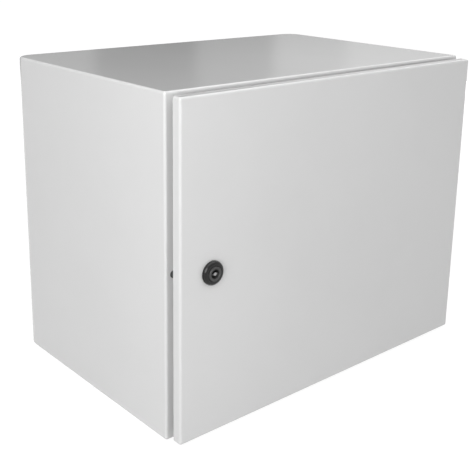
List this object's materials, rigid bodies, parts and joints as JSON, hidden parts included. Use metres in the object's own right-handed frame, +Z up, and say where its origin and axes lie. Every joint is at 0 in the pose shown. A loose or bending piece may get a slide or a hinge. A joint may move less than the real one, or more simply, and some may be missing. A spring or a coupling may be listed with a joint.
{
  "type": "steel wall enclosure",
  "caption": "Sheet-steel wall box with a hinged pan door, a quarter-turn lock, a sealed rain gutter round its mouth and an inner mounting plate.",
  "frame": {"origin": "middle of the four wall-fixing holes, on the rear face", "axes": "+X to the viewer's right facing the door, +Y into the wall, +Z up"},
  "size_m": [0.5, 0.3572, 0.4],
  "materials": {
    "grey_paint": "semi-gloss powder coat",
    "zinc_plate": "zinc plated",
    "steel": "satin",
    "sealing_foam": "foamed",
    "black_rubber": "matte",
    "black_casting": "satin black"
  },
  "bodies": {
    "case": {"body_shell": "grey_paint", "top_panel": "grey_paint", "floor_panel": "grey_paint", "front_frame": "grey_paint", "plate_studs": "steel", "mounting_plate": "zinc_plate", "plate_washers": "zinc_plate", "plate_nuts": "zinc_plate", "gland_studs": "steel", "gland_gasket": "sealing_foam", "gland_plate": "zinc_plate", "gland_nuts": "zinc_plate", "case_earth_stud": "steel", "case_earth_washer": "zinc_plate", "case_earth_nut": "zinc_plate", "latch_buffer": "black_rubber", "hinge_bracket_lower": "zinc_plate", "hinge_bracket_upper": "zinc_plate", "hinge_screws": "zinc_plate"},
    "door": {"door_panel": "grey_paint", "door_gasket": "sealing_foam", "door_rail_left": "zinc_plate", "door_rail_right": "zinc_plate", "door_earth_stud": "steel", "door_earth_washer": "zinc_plate", "door_earth_nut": "zinc_plate", "hinge_leaf_lower": "zinc_plate", "hinge_leaf_upper": "zinc_plate", "hinge_pin_lower": "steel", "hinge_pin_upper": "steel", "lock_housing": "black_casting", "lock_seal": "black_rubber", "lock_nut": "zinc_plate"},
    "lock": {"lock_insert": "black_casting", "lock_cam": "zinc_plate", "cam_washer": "zinc_plate", "cam_screw": "zinc_plate"}
  },
  "joints": [
    {"name": "door_swing", "type": "hinge", "parent": "case", "child": "door", "pos_m": [0.241, -0.3422, 0], "axis": [0, 0, 1], "range_deg": [0, 120]},
    {"name": "lock_turn", "type": "hinge", "parent": "door", "child": "lock", "pos_m": [-0.204, -0.3227, 0], "axis": [0, 1, 0], "range_deg": [0, 90]}
  ]
}
